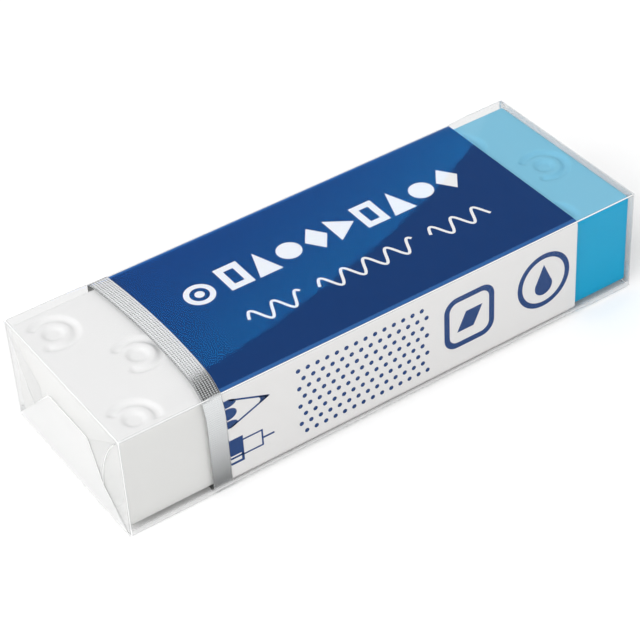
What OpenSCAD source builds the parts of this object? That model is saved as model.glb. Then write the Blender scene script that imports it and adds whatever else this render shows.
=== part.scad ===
// Wrapped combination eraser.
// A white half and a light blue half are bonded end to end and sit in a printed card sleeve.
// Clear film is folded round them like an envelope, with a silver tear strip bonded inside it.
// Units are millimetres. The pack lies on z = 0 with its length along X and its white end at -X.

/* [Eraser bar] */
// Length of the whole bar
eraser_len = 65; // [50:0.5:90]
// Width of the bar
eraser_w = 22.4; // [20:0.1:30]
// Height of the bar
eraser_h = 11.5; // [10:0.1:18]
// Length of the white half, from its end to the bond
white_len = 34; // [25:0.5:45]
// Radius of the bar's four long edges
bar_edge_r = 0.3; // [0.1:0.05:0.8]

/* [Pressed marks] */
// Radius of a mark's open ring, to the middle of its groove
mark_r = 2.4; // [1.2:0.1:3]
// Width of a mark's groove
mark_groove_w = 0.8; // [0.3:0.05:1]
// Depth of a mark's groove
mark_depth = 0.2; // [0.1:0.02:0.4]
// How far round the open ring runs, in degrees
mark_sweep = 270; // [180:5:330]
// Radius of the dot inside the ring
mark_dot_r = 1.1; // [0.3:0.05:1.2]
// Distance from the white end to the first marks
mark_start = 3.1; // [2:0.1:6]
// Distance along the bar from one staggered row to the next
mark_pitch = 5.3; // [4:0.1:8]
// Distance between the three lines of marks across the bar
mark_line_gap = 8.2; // [6:0.1:9]
// How far the lines of marks lie off the bar's middle
mark_off_middle = -0.9; // [-2:0.1:2]
// Plain margin that the marks leave along the bar's long edges
mark_margin = 0.6; // [0.3:0.1:1.5]

/* [Card sleeve] */
// Thickness of the card
card_t = 0.3; // [0.2:0.01:0.5]
// Gap between the bar and the card
card_gap = 0.05; // [0.03:0.01:0.15]
// Spare room in the sleeve beyond the bar's far side
sleeve_play = 0.3; // [0:0.05:0.6]
// Distance from the white end to the sleeve's edge
sleeve_start = 11.2; // [6:0.1:16]
// Length of the sleeve along the bar
sleeve_len = 46.2; // [30:0.1:50]
// Inside radius of the card's four folds
card_fold_r = 0.25; // [0.1:0.05:0.6]
// Width of the glued lap underneath
glue_lap = 8; // [4:0.5:14]

/* [Clear film] */
// Thickness of the film
film_t = 0.05; // [0.03:0.005:0.08]
// Outside radius of the film's four long folds
film_fold_r = 0.5; // [0.3:0.05:0.8]
// Gap between the film, the tear strip and the card
skin_gap = 0.03; // [0.02:0.005:0.06]
// Spare room between the underside and the film
floor_slack = 0.2; // [0:0.05:0.5]
// Gap between the white end and the folded film
white_end_gap = 0.25; // [0.1:0.05:0.6]
// Gap between the blue end and the folded film
blue_end_gap = 0.4; // [0.1:0.05:0.8]
// Width of the film's own lap underneath
film_lap = 5; // [3:0.5:10]

/* [End folds] */
// How far the top flap stops short of the pack's lower edge
top_flap_short = 0.7; // [0.3:0.1:3]
// How far the top flap's tip lies in from the far side
top_flap_far_in = 6.6; // [4:0.1:8]
// How far the top flap's tip lies in from the near side
top_flap_near_in = 4.8; // [3:0.1:6]
// How strongly the top flap's near edge bows
top_flap_bow = 2.6; // [1.5:0.1:4]
// Length of the bottom flap, which lies outermost
bottom_flap_len = 8.9; // [5:0.1:9.4]
// How far the knee in the bottom flap's near edge lies in from the near side
bottom_flap_knee_in = 4.6; // [3:0.1:5.2]
// Height of that knee
bottom_flap_knee = 4; // [2:0.1:4.9]
// How far the bottom flap's tip lies in from the near side
bottom_flap_near_in = 6.8; // [5.5:0.1:9]
// How far each side tuck folds in under the flaps
tuck_len = 6.9; // [5.5:0.1:8]
// Radius of the flaps' free corners
flap_corner_r = 1.2; // [0.4:0.1:2]

/* [Tear strip] */
// Width of the strip
strip_w = 2.3; // [1.5:0.1:4]
// Thickness of the strip
strip_t = 0.04; // [0.03:0.005:0.06]
// Distance from the white end to the strip's middle, half way across the pack
strip_middle = 11.6; // [8:0.1:16]
// How far the strip bows between the two sides of the pack
strip_bow = 0.7; // [0.3:0.05:1.5]

/* [Hidden] */
$fn = 96;

white = "#f0f0ee";
blue = "#2ea6cb";
print_blue = "#214178";
card_white = "#e7eae8";
silver = "#c9ccce";
clear = [0.93, 0.96, 0.98, 0.3];

// How far a cutting shape runs past the faces that it cuts
past = 1;

// From the bar's faces out to the film's inside, over the card and the tear strip
wrap_over = card_gap + card_t + skin_gap + strip_t + skin_gap;
// From the film's inside up to the card's lap, over the film's own lap and the tear strip
floor_gap = film_t + skin_gap + strip_t + skin_gap + floor_slack;
// The end folds are three layers of film deep
fold_layers = 3;
end_t = fold_layers * film_t;

// Outside of the film
film_len = eraser_len + white_end_gap + blue_end_gap + 2 * end_t;
film_w = eraser_w + sleeve_play + 2 * wrap_over + 2 * film_t;
film_h = film_t + floor_gap + 2 * card_t + card_gap + eraser_h + wrap_over + film_t;

// The bar's corner at its white end, near side and underside
bar_x = -film_len / 2 + end_t + white_end_gap;
bar_y = -film_w / 2 + film_t + wrap_over;
bar_z = film_t + floor_gap + 2 * card_t + card_gap;

// The tear strip's middle half way across, and the radius that gives its bow
strip_x = bar_x + strip_middle;
strip_bow_r = (pow(film_w / 2, 2) + pow(strip_bow, 2)) / (2 * strip_bow);
bow_facets = 720;

// Helpers

// A rounded rectangle in a section across the pack: size is its width and height
module rounded_rect(corner, size, r) {
    translate(corner) {
        translate([r, 0]) square([size[0] - 2 * r, size[1]]);
        translate([0, r]) square([size[0], size[1] - 2 * r]);
        for (y = [r, size[0] - r], z = [r, size[1] - r]) translate([y, z]) circle(r);
    }
}

// Carries a section, drawn with Y to the right and Z up, along X
module along_x(from, length) {
    translate([from, 0, 0]) rotate([90, 0, 90]) linear_extrude(length) children();
}

// The bar's section, grown by a margin all round and widened by some play towards the far side
module bar_section(margin, r, play = 0) {
    rounded_rect([bar_y - margin, bar_z - margin], [eraser_w + play + 2 * margin, eraser_h + 2 * margin], r);
}

// The film's section, shrunk by an inset from its outside
module film_section(inset) {
    rounded_rect([-film_w / 2 + inset, inset], [film_w - 2 * inset, film_h - 2 * inset], film_fold_r - inset);
}

// Eraser bar

// One pressed mark: an open ring round a dot, sunk into the bar's top
module pressed_mark() {
    translate([0, 0, bar_z + eraser_h - mark_depth]) {
        rotate([0, 0, -mark_sweep / 2]) rotate_extrude(angle = mark_sweep)
            translate([mark_r - mark_groove_w / 2, 0]) square([mark_groove_w, mark_depth + past]);
        cylinder(h = mark_depth + past, r = mark_dot_r);
    }
}

// Marks as a roller presses them: two and one by turns, running off the bar's ends but not its sides
module pressed_marks() {
    middle_y = bar_y + eraser_w / 2 + mark_off_middle;
    rows = ceil((eraser_len - mark_start + mark_r) / mark_pitch);
    intersection() {
        union() for (row = [0 : rows - 1]) {
            lines = row % 2 == 0 ? [-mark_line_gap, mark_line_gap] : [0];
            for (line = lines)
                translate([bar_x + mark_start + row * mark_pitch, middle_y + line, 0]) pressed_mark();
        }
        translate([bar_x - past, bar_y + mark_margin, bar_z + eraser_h - 2 * mark_depth])
            cube([eraser_len + 2 * past, eraser_w - 2 * mark_margin, 2 * mark_depth + 2 * past]);
    }
}

// A length of the bar, from one distance along it to another
module bar_piece(from, to) {
    difference() {
        along_x(bar_x + from, to - from) bar_section(0, bar_edge_r);
        pressed_marks();
    }
}

module white_half() {
    color(white) bar_piece(0, white_len);
}

module blue_half() {
    color(blue) bar_piece(white_len, eraser_len);
}

// Card sleeve

// A card tube whose glued lap is a second layer underneath
module sleeve_tube() {
    along_x(bar_x + sleeve_start, sleeve_len) {
        difference() {
            bar_section(card_gap + card_t, card_fold_r + card_t, sleeve_play);
            bar_section(card_gap, card_fold_r, sleeve_play);
        }
        translate([bar_y + (eraser_w + sleeve_play - glue_lap) / 2, bar_z - card_gap - 2 * card_t])
            square([glue_lap, 2 * card_t]);
    }
}

// The blue print covers the top and turns down over the near and far folds
module blue_print_zone() {
    fold_z = bar_z + eraser_h + card_gap - card_fold_r;
    translate([-film_len / 2, -film_w / 2, fold_z]) cube([film_len, film_w, film_h - fold_z]);
}

module card_sleeve() {
    color(print_blue) intersection() {
        sleeve_tube();
        blue_print_zone();
    }
    color(card_white) difference() {
        sleeve_tube();
        blue_print_zone();
    }
}

// Clear film

// The near edge of the top flap curves in from its corner to its tip
function flap_curve(share) = 1 - pow(1 - share, top_flap_bow);

// The top flap, folded down over the side tucks. It starts above the edge that it hangs from.
module top_flap() {
    tip_z = top_flap_short;
    drop = film_h - tip_z;
    steps = 10;
    near_edge = [for (step = [0 : steps])
        [-film_w / 2 + top_flap_near_in * flap_curve(step / steps), film_h - drop * step / steps]];
    far_edge = [[film_w / 2 - top_flap_far_in, tip_z], [film_w / 2, film_h]];
    above = [[film_w / 2, film_h + past], [-film_w / 2, film_h + past]];
    offset(r = flap_corner_r) offset(delta = -flap_corner_r) polygon(concat(near_edge, far_edge, above));
}

// The bottom flap, folded up last. It starts below the edge that it rises from.
module bottom_flap() {
    offset(r = flap_corner_r / 2) offset(delta = -flap_corner_r / 2) polygon([
        [-film_w / 2, -past],
        [film_w / 2, -past],
        [film_w / 2, 0],
        [film_w / 2 - bottom_flap_len, bottom_flap_len],
        [-film_w / 2 + bottom_flap_near_in, bottom_flap_len],
        [-film_w / 2 + bottom_flap_knee_in, bottom_flap_knee],
        [-film_w / 2, 0]
    ]);
}

// The tuck on the near or far side, folded in first. side is -1 for near and 1 for far.
module side_tuck(side) {
    rise = tuck_len * film_h / (film_h + tuck_len);
    polygon([
        [side * film_w / 2, 0],
        [side * (film_w / 2 - tuck_len), rise],
        [side * (film_w / 2 - tuck_len), film_h - rise],
        [side * film_w / 2, film_h]
    ]);
}

// One layer of an end fold, counted from the outside, clipped to the film's section
module fold_layer(layer) {
    along_x(-film_len / 2 + layer * film_t, film_t) intersection() {
        film_section(0);
        children();
    }
}

module end_folds() {
    fold_layer(0) bottom_flap();
    fold_layer(1) top_flap();
    fold_layer(2) side_tuck(-1);
    fold_layer(2) side_tuck(1);
}

// The tube of film, with its own lap inside its floor
module film_tube() {
    along_x(-film_len / 2, film_len) difference() {
        film_section(0);
        film_section(film_t);
    }
    along_x(-film_len / 2 + end_t, film_len - 2 * end_t)
        translate([-film_lap / 2, 0]) square([film_lap, 2 * film_t]);
}

module film_wrap() {
    color(clear) union() {
        film_tube();
        end_folds();
        mirror([1, 0, 0]) end_folds();
    }
}

// Tear strip

// A flat ring inside the film, cut to a bowed band in plan
module tear_strip() {
    inset = film_t + skin_gap;
    floor_z = 2 * film_t + skin_gap;
    strip_size = [film_w - 2 * inset, film_h - inset - floor_z];
    r = film_fold_r - inset;
    color(silver) intersection() {
        along_x(-film_len / 2, film_len) difference() {
            rounded_rect([-strip_size[0] / 2, floor_z], strip_size, r);
            rounded_rect([-strip_size[0] / 2 + strip_t, floor_z + strip_t],
                [strip_size[0] - 2 * strip_t, strip_size[1] - 2 * strip_t], r - strip_t);
        }
        translate([strip_x - strip_bow_r, 0, 0]) difference() {
            cylinder(h = film_h, r = strip_bow_r + strip_w / 2, $fn = bow_facets);
            translate([0, 0, -past])
                cylinder(h = film_h + 2 * past, r = strip_bow_r - strip_w / 2, $fn = bow_facets);
        }
    }
}

white_half();
blue_half();
card_sleeve();
film_wrap();
tear_strip();
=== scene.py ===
"""Wrapped combination eraser: its finishes, print, film and stage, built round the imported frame."""

import math

import bmesh
import bpy
from bpy.props import FloatProperty, FloatVectorProperty, PointerProperty
from bpy.types import Operator, Panel, PropertyGroup
from mathutils import Matrix, Vector, noise
from mathutils.geometry import tessellate_polygon


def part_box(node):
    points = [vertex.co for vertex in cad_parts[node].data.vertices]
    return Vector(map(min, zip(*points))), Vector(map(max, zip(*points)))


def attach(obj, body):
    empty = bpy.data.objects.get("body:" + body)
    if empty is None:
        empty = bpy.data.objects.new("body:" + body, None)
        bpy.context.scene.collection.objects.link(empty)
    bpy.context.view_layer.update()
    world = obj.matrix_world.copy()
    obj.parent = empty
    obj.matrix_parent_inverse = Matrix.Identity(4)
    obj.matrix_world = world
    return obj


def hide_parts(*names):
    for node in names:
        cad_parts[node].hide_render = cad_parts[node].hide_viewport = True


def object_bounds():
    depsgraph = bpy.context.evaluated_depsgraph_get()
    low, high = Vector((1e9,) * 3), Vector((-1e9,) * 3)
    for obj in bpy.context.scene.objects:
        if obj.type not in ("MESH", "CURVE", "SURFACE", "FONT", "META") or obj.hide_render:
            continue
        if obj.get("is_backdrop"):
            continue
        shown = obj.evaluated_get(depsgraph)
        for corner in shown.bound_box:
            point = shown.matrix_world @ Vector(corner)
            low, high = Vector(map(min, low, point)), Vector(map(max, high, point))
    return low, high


bl_info = {
    "name": "Wrapped combination eraser",
    "version": (1, 0, 0),
    "blender": (4, 5, 0),
    "location": "3D View > Sidebar > Eraser",
    "description": "Builds a film-wrapped two-colour eraser with its printed sleeve and tear strip",
    "category": "Object",
}

MM = 0.001

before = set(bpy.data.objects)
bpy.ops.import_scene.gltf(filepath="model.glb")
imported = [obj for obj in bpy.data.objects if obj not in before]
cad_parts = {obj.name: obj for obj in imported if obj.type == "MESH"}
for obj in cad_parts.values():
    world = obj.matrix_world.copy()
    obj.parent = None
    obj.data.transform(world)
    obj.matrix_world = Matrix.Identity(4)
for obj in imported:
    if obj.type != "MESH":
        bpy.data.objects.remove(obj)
CAD_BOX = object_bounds()
WHITE_LOW, WHITE_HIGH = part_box("white_half")
BLUE_LOW, BLUE_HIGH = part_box("blue_half")
SLEEVE_LOW, SLEEVE_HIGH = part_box("card_sleeve")
FILM_LOW, FILM_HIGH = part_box("film_wrap")
STRIP_LOW, STRIP_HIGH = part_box("tear_strip")
# The film's width and height in millimetres
FILM_WIDE = (FILM_HIGH.y - FILM_LOW.y) / MM
FILM_DEEP = (FILM_HIGH.z - FILM_LOW.z) / MM


# Sizes in millimetres that follow the part's own

# How far down the card's folds the blue ink turns
INK_TURN = 0.16
# Rounding of the bar's cut ends
CUT_EDGE = 0.3
# Spacing of the mesh that carries the pressed marks
MARK_GRID = 0.2
# How far round a pressed mark's ring runs, in degrees
MARK_SWEEP = 270
# Plain margin that the marks leave along the bar's long edges
MARK_MARGIN = 0.6
# Height of the ink over the card, and its thickness
INK_LIFT = 0.012
INK_THICK = 0.01
# The field of dots on the sleeve's side
DOT_PITCH = 1.2
DOT_RADIUS = 0.27
DOT_ROWS = 8
DOTS_IN_ROW = 14
# The tear strip: how far it stays inside the solid strip's box, its own sizes, the depth of the pits pressed
# into it and how many cells of its mesh lie from pit to pit
TAPE_INSET = 0.005
TAPE_WIDTH = 2.3
TAPE_THICK = 0.03
TAPE_BOW = 0.7
TAPE_FOLD = 0.42
TAPE_EMBOSS = 0.02
PIT_CELLS = 3
# How far the tape slips back where it turns over the near edge, and how far round that edge it does so
TAPE_SLIP = 0.3
TAPE_SLIP_REACH = 2.0
# How far the film's mesh stays inside the solid film's box
FILM_INSET = 0.01
# The film's faint waves: their depth, how many lie in a metre along each axis, and how far from a fold they
# begin and are whole
FILM_WAVE = 0.001
FILM_WAVES_IN_METRE = (90, 160, 160)
FILM_WAVES_FROM_FOLD = (0.8, 3.0)
# Rounding of the film's long folds over the card, whose folded edges spread it, and how soon it sharpens
# past them
FILM_FOLD_OVER_CARD = 0.75
FILM_FOLD_CHANGE = 3.0
# How far to each side of a fold's crest its crease shows
CREASE_REACH = 0.22
# How hazy the film is: low on its walls, where the milk is painted light that lifts the shadow seen under the
# bar, over each end, in the layers folded over that and in its lap
LOW_WALL_PAINTED_LIGHT = 0.5
END_HAZE = 0.1
TUCK_HAZE = 0.1
TOP_FLAP_HAZE = 0.14
BOTTOM_FLAP_HAZE = 0.4
LAP_HAZE = 0.02
# How deep a wall reaches in from the film's side, and the heights between which its painted lightening fades
WALL_DEPTH = 0.1
LOW_WALL_PAINTED_LIGHT_FADE = (0.6, 1.2)
# How strongly the free edges of the tucks show their painted grey line and whitened crest, and those of the
# flaps and the lap
TUCK_RIM = 0.2
FLAP_RIM = 1.0
# The film's shine at the flattest slant, and how sharply it rises towards that
SLANT_SHINE = 0.6
SLANT_RISE = 6.0
# How much of the whitened film mirrors the room softly rather than scattering its light
MILK_SHEEN = 0.3
# Depth that the folded ends take, and the depths at which the tucks and the two flaps lie
END_LAYERS = 0.2
TUCK_DEPTH = 0.17
TOP_FLAP_DEPTH = 0.14
BOTTOM_FLAP_DEPTH = 0.09
# How far a flap's free edge curls out, and how far its hinge lies in from the pack's edge
FLAP_CURL = 0.045
HINGE_IN = 0.12
# Inset, curl and crease of each ring of points along a free edge of film
EDGE_PROFILE = ((0.0, 1.0, 1.0), (0.08, 0.6, 0.8), (0.18, 0.25, 0.5), (0.32, 0.0, 0.0))
# Width of the film's lap under the pack, and how far it lies over the underside and in from the ends
FILM_LAP = 5.0
LAP_RISE = 0.07
LAP_END_GAP = 0.4
# The tucks and flaps of the end folds
TUCK_LENGTH = 6.9
TOP_FLAP_SHORT = 0.7
TOP_FLAP_FAR_IN = 6.6
TOP_FLAP_NEAR_IN = 4.8
TOP_FLAP_BOW = 2.6
TOP_FLAP_CORNER = 1.2
BOTTOM_FLAP_LENGTH = 8.9
BOTTOM_FLAP_KNEE_IN = 4.6
BOTTOM_FLAP_KNEE = 4.0
BOTTOM_FLAP_NEAR_IN = 6.8
BOTTOM_FLAP_CORNER = 0.5

# Where the camera looks
AIM = (-1.622, -0.362, 5.088)
# How many faces of film a line of sight may pass
FILM_LAYERS_SEEN = 32
# Where the softbox stands, its distance and width in metres, and its power at a strength of 1 in watts
KEY_DIRECTION = (-0.68, -0.2, 0.705)
KEY_DISTANCE = 1.5
KEY_WIDTH = 1.1
KEY_WATTS = 22.2
# What the floor adds to its own white where it is seen
FLOOR_LIFT = 0.1
# Half the width of the floor, in metres
FLOOR_HALF = 3.0
# Distances of the cards behind the pack, in metres: the film's, the tape's and the shade
FILM_CARD_DISTANCE = 0.6
TAPE_CARD_DISTANCE = 0.606
SHADE_CARD_DISTANCE = 0.612
# Names of the groups of pieces that some cards light alone
SEEN_BY_FILM = "mirrored_in_film"
SEEN_BY_TAPE = "mirrored_in_tape"
# Colours of the lit card at its edge and far from it: white past the sleeve's ends and blue over the sleeve
PALE_TONES = ((0.12, 0.12, 0.12), (0.08, 0.08, 0.08))
BLUE_TONES = ((0.0, 0.38, 1.0), (0.0, 0.1, 0.46))
# The lit card's edge as the film's top shows it, in millimetres past the white end and the bar's near side,
# with its colours
GLOSS_EDGE = (
    (-4, 1.0, *PALE_TONES), (12.3, 3.46, *PALE_TONES), (12.7, 3.55, *BLUE_TONES), (19.5, 4.7, *BLUE_TONES),
    (28, 6.8, *BLUE_TONES), (38.2, 9.6, *BLUE_TONES), (49.6, 14.0, *BLUE_TONES), (57.2, 17.9, *BLUE_TONES),
    (57.6, 18.1, *PALE_TONES), (62.5, 21.6, *PALE_TONES), (68, 26, *PALE_TONES),
)
# How far past its edge each row of the card's points lies, with its share of the far colour
GLOSS_ROWS = ((0, 0.0), (6, 0.5), (16, 1.0), (60, 1.0))
# The tones of a card with four corners that is the same all over
EVEN_TONES = (((1.0, 1.0, 1.0),) * 2,) * 2
# The lit card's edge as the tape shows it, and how far past it each row of points lies, with their tones
TAPE_CARD_EDGE = ((-60, -6.0), (-4, 1.0), (12.3, 3.46), (19.5, 4.7), (80, 20.0))
TAPE_CARD_ROWS = ((0, 1.0), (10, 1.05), (24, 0.95), (60, 0.5))
# Distance in front of the pack and brightness along the card that the near side shows
FRONT_TONES = ((0.0005, 0.3), (0.003, 0.68), (0.007, 1.12), (0.012, 1.5), (0.03, 1.5))


# Colours

def srgb(code):
    """Linear red, green, blue and alpha of a colour written as an sRGB hex value."""
    shares = [int(code[i:i + 2], 16) / 255 for i in (1, 3, 5)]
    linear = [s / 12.92 if s <= 0.04045 else ((s + 0.055) / 1.055) ** 2.4 for s in shares]
    return (*linear, 1.0)


def colour(name, description, code):
    """A colour property with its default given in sRGB hex."""
    return FloatVectorProperty(
        name=name, description=description, subtype="COLOR", size=4, min=0, max=1, default=srgb(code)
    )


def length(name, description, millimetres):
    """A length property with its default given in millimetres."""
    return FloatProperty(
        name=name, description=description, unit="LENGTH", precision=5, min=0, default=millimetres * MM
    )


def strength(name, description, value):
    """A property for the strength of a light."""
    return FloatProperty(name=name, description=description, min=0, default=value)


# What a user would change

class BarSettings(PropertyGroup):
    """The two-colour eraser bar and the marks pressed into it."""

    white: colour("White vinyl", "Colour of the pencil half", "#f1f1ef")
    white_cloud: colour("White cloud", "Colour of the pencil half's faint clouds", "#f4f4f2")
    # The pale colours of the tops are talc together with a painted sheen of the light from above.
    white_talc_and_sheen: colour("White bloom", "Colour of the pencil half's dusted top", "#f4f4f4")
    blue: colour("Blue vinyl", "Colour of the ink half", "#00acdc")
    blue_cloud: colour("Blue cloud", "Colour of the ink half's faint clouds", "#10b0de")
    blue_talc_and_sheen: colour("Blue bloom", "Colour of the ink half's dusted top", "#86c8e3")
    edge_radius: length("Edge radius", "Rounding of the bar's edges", 0.3)
    mark_radius: length("Mark radius", "Radius of a pressed mark's ring", 2.4)
    mark_groove: length("Groove width", "Width of a pressed mark's groove", 0.8)
    mark_dot: length("Dot radius", "Radius of the dot inside the ring", 1.1)
    mark_depth: length("Mark depth", "Depth that the marks are pressed to", 0.28)
    mark_start: length("First marks", "Distance from the white end to the first marks", 3.1)
    mark_pitch: length("Mark pitch", "Distance along the bar between staggered rows", 5.3)
    mark_line_gap: length("Line gap", "Distance between the lines of marks across the bar", 8.2)
    mark_off_middle: length("Off the middle", "How far the marks lie off the bar's middle", 0.9)


class SleeveSettings(PropertyGroup):
    """The printed card sleeve."""

    ink: colour("Blue ink", "Colour of the printed top", "#103a74")
    ink_mottle: colour("Ink mottle", "Colour of the ink's faint mottle", "#123d78")
    card: colour("White card", "Colour of the unprinted card", "#f8f7f6")
    # Along each fold the ink is paler: partly stretched ink, partly a painted highlight of the rounded fold.
    fold_ink_and_highlight: colour("Worn fold", "Colour of the ink where the fold stretches it", "#3468a8")
    fold_highlight_width: length("Worn width", "How far in from each fold the ink is worn lighter", 0.55)
    side_print: colour("Side print", "Colour of the print on the side", "#1d437f")
    side_print_thin: colour("Thin side print", "Where that print lies thinner", "#254b87")
    white_print: colour("White print", "Colour of the print on the top", "#fbfbfb")
    white_print_thin: colour("Thin white print", "Where that print lies thinner", "#f6f7f8")


class TapeSettings(PropertyGroup):
    """The silver tear strip."""

    silver: colour("Silver", "Colour of the metallised tape", "#d1d3d4")
    emboss_pitch: length("Emboss pitch", "Distance between the tape's pressed pits", 0.3)


class FilmSettings(PropertyGroup):
    """The clear film wrap."""

    clear: colour("Film", "Tint of what is seen through one face of the film", "#fafafa")
    shine: FloatProperty(
        name="Shine", description="Reflection of each face of the film, seen square on",
        subtype="FACTOR", min=0, max=1, default=0.004,
    )
    # The crease tint is painted shade: a grey line along each fold and free edge of the film.
    crease: colour("Crease", "Tint of what is seen through one face of a crease", "#eaebeb")
    milk: colour("Milk", "Colour that stretched film whitens to", "#fbfbfb")
    # The whitened crest is partly stress whitening and partly a painted highlight along each fold.
    crest_whitening_and_highlight: FloatProperty(
        name="Whitening", description="How far the crest of a crease hides what lies behind it",
        subtype="FACTOR", min=0, max=1, default=0.85,
    )
    thickness: length("Thickness", "Thickness of the film", 0.03)
    fold_radius: length("Fold radius", "Rounding of the film's long folds", 0.4)
    end_radius: length("End radius", "Rounding of the film's end edges", 0.3)


class StageSettings(PropertyGroup):
    """The floor, the lights and the camera."""

    azimuth: FloatProperty(
        name="Azimuth", description="Direction that the camera stands in", subtype="ANGLE",
        default=math.radians(-32.203),
    )
    elevation: FloatProperty(
        name="Elevation", description="Height angle of the camera", subtype="ANGLE",
        default=math.radians(39.663),
    )
    roll: FloatProperty(
        name="Roll", description="Turn of the camera about its own axis", subtype="ANGLE",
        default=math.radians(-3.565),
    )
    distance: length("Distance", "From the camera to the point that it looks at", 228.91)
    lens: FloatProperty(name="Lens", description="Focal length in millimetres", min=1, default=118.6)
    ambient: strength("Ambient", "Strength of the even white light", 0.73)
    film_glow: strength("Film glow", "Strength of the card that the film shows", 12)
    tape_glow: strength("Tape glow", "Strength of the card that the tape shows", 1.5)
    shade: strength("Shade", "Strength of the dark cards behind and above", 0.08)
    key: strength("Key", "Strength of the overhead softbox", 0.6)


# Materials

# Places of the colour sockets of a Mix node
MIX_A, MIX_B, MIX_RESULT = 6, 7, 2


def new_material(name):
    """An empty node material, and its tree."""
    material = bpy.data.materials.new(name)
    material.use_nodes = True
    material.node_tree.nodes.clear()
    return material, material.node_tree


def add_node(tree, kind, settings=None, links=None):
    """Adds a node. settings are values of its own or of its sockets, and links join its sockets to others."""
    node = tree.nodes.new(kind)
    for name, value in (settings or {}).items():
        if isinstance(name, int) or name in node.inputs:
            node.inputs[name].default_value = value
        else:
            setattr(node, name, value)
    for name, source in (links or {}).items():
        tree.links.new(source, node.inputs[name])
    return node


def show(tree, shader):
    """Joins a shader to the material's output."""
    add_node(tree, "ShaderNodeOutputMaterial", links={"Surface": shader.outputs[0]})


def grain(tree, size, detail=3.0):
    """The height of a noise whose grains have a real size in metres."""
    place = add_node(tree, "ShaderNodeTexCoord")
    noise_node = add_node(
        tree, "ShaderNodeTexNoise", {"Scale": 1 / size, "Detail": detail}, {"Vector": place.outputs["Object"]}
    )
    return noise_node.outputs["Fac"]


def vinyl(name, tint, cloud_tint, talc_and_sheen_tint):
    """Pressed vinyl eraser: matt and faintly cloudy, and paler on the faces that look up, where talc lies and
    a painted sheen of the light from above is laid with it.
    """
    material, tree = new_material(name)
    cloudy = add_node(
        tree, "ShaderNodeMix", {"data_type": "RGBA", MIX_A: tint, MIX_B: cloud_tint}, {0: grain(tree, 4 * MM)}
    )
    # Faces that look up take the pale tint: part talc, part a painted sheen of the light from above.
    place = add_node(tree, "ShaderNodeTexCoord")
    facing = add_node(tree, "ShaderNodeSeparateXYZ", links={0: place.outputs["Normal"]})
    level = add_node(
        tree, "ShaderNodeMapRange", {"interpolation_type": "SMOOTHSTEP", "From Min": 0.4, "From Max": 0.9},
        {"Value": facing.outputs["Z"]},
    )
    tone = add_node(
        tree, "ShaderNodeMix", {"data_type": "RGBA", MIX_B: talc_and_sheen_tint},
        {0: level.outputs[0], MIX_A: cloudy.outputs[MIX_RESULT]},
    )
    # A real skin is finer than a tenth of a millimetre. It is drawn at 0.25 mm so that it shows.
    skin = grain(tree, 0.25 * MM, 2.0)
    bump = add_node(tree, "ShaderNodeBump", {"Strength": 0.15, "Distance": 0.02 * MM}, {"Height": skin})
    shader = add_node(
        tree, "ShaderNodeBsdfPrincipled",
        {"Roughness": 0.6, "IOR": 1.53, "Specular IOR Level": 0.1, "Subsurface Weight": 0.2,
         "Subsurface Scale": 0.8 * MM, "Subsurface Radius": (1.0, 1.0, 1.0)},
        {"Base Color": tone.outputs[MIX_RESULT], "Normal": bump.outputs["Normal"]},
    )
    show(tree, shader)
    return material


def printed_card(settings):
    """Coated card, offset printed: satin, blue above its folds, with the ink paler along each, partly
    stretched thin and partly a painted highlight of the fold.
    """
    material, tree = new_material("offset_printed_card")
    place = add_node(tree, "ShaderNodeTexCoord")
    axes = add_node(tree, "ShaderNodeSeparateXYZ", links={0: place.outputs["Object"]})
    fold_z = SLEEVE_HIGH.z - INK_TURN * MM
    inked = add_node(tree, "ShaderNodeMath", {"operation": "GREATER_THAN", 1: fold_z}, {0: axes.outputs["Z"]})
    # Both folds lie equally far from the pack's middle.
    from_middle = add_node(tree, "ShaderNodeMath", {"operation": "ABSOLUTE"}, {0: axes.outputs["Y"]})
    # Painted highlight along each top fold, together with the ink stretched thin there.
    worn_and_highlit = add_node(
        tree, "ShaderNodeMapRange",
        {"interpolation_type": "SMOOTHSTEP", "From Min": SLEEVE_HIGH.y - 1.4 * settings.fold_highlight_width,
         "From Max": SLEEVE_HIGH.y - settings.fold_highlight_width},
        {"Value": from_middle.outputs[0]},
    )
    mottle = add_node(
        tree, "ShaderNodeMix", {"data_type": "RGBA", MIX_A: settings.ink, MIX_B: settings.ink_mottle},
        {0: grain(tree, 1.5 * MM)},
    )
    ink = add_node(
        tree, "ShaderNodeMix", {"data_type": "RGBA", MIX_B: settings.fold_ink_and_highlight},
        {0: worn_and_highlit.outputs[0], MIX_A: mottle.outputs[MIX_RESULT]},
    )
    card = add_node(
        tree, "ShaderNodeMix", {"data_type": "RGBA", MIX_A: settings.card},
        {0: inked.outputs[0], MIX_B: ink.outputs[MIX_RESULT]},
    )
    # Coating over paper fibres, drawn at 0.3 mm so that it shows
    fibres = grain(tree, 0.3 * MM)
    bump = add_node(tree, "ShaderNodeBump", {"Strength": 0.1, "Distance": 0.01 * MM}, {"Height": fibres})
    shader = add_node(
        tree, "ShaderNodeBsdfPrincipled", {"Roughness": 0.42, "IOR": 1.5, "Specular IOR Level": 0.15},
        {"Base Color": card.outputs[MIX_RESULT], "Normal": bump.outputs["Normal"]},
    )
    show(tree, shader)
    return material


def offset_ink(name, tint, thin_tint):
    """A printed layer of ink: satin, with the slight mottle that card gives it."""
    material, tree = new_material(name)
    tone = add_node(
        tree, "ShaderNodeMix", {"data_type": "RGBA", MIX_A: tint, MIX_B: thin_tint},
        {0: grain(tree, 0.6 * MM)},
    )
    shader = add_node(
        tree, "ShaderNodeBsdfPrincipled", {"Roughness": 0.45, "IOR": 1.5, "Specular IOR Level": 0.15},
        {"Base Color": tone.outputs[MIX_RESULT]},
    )
    show(tree, shader)
    return material


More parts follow.
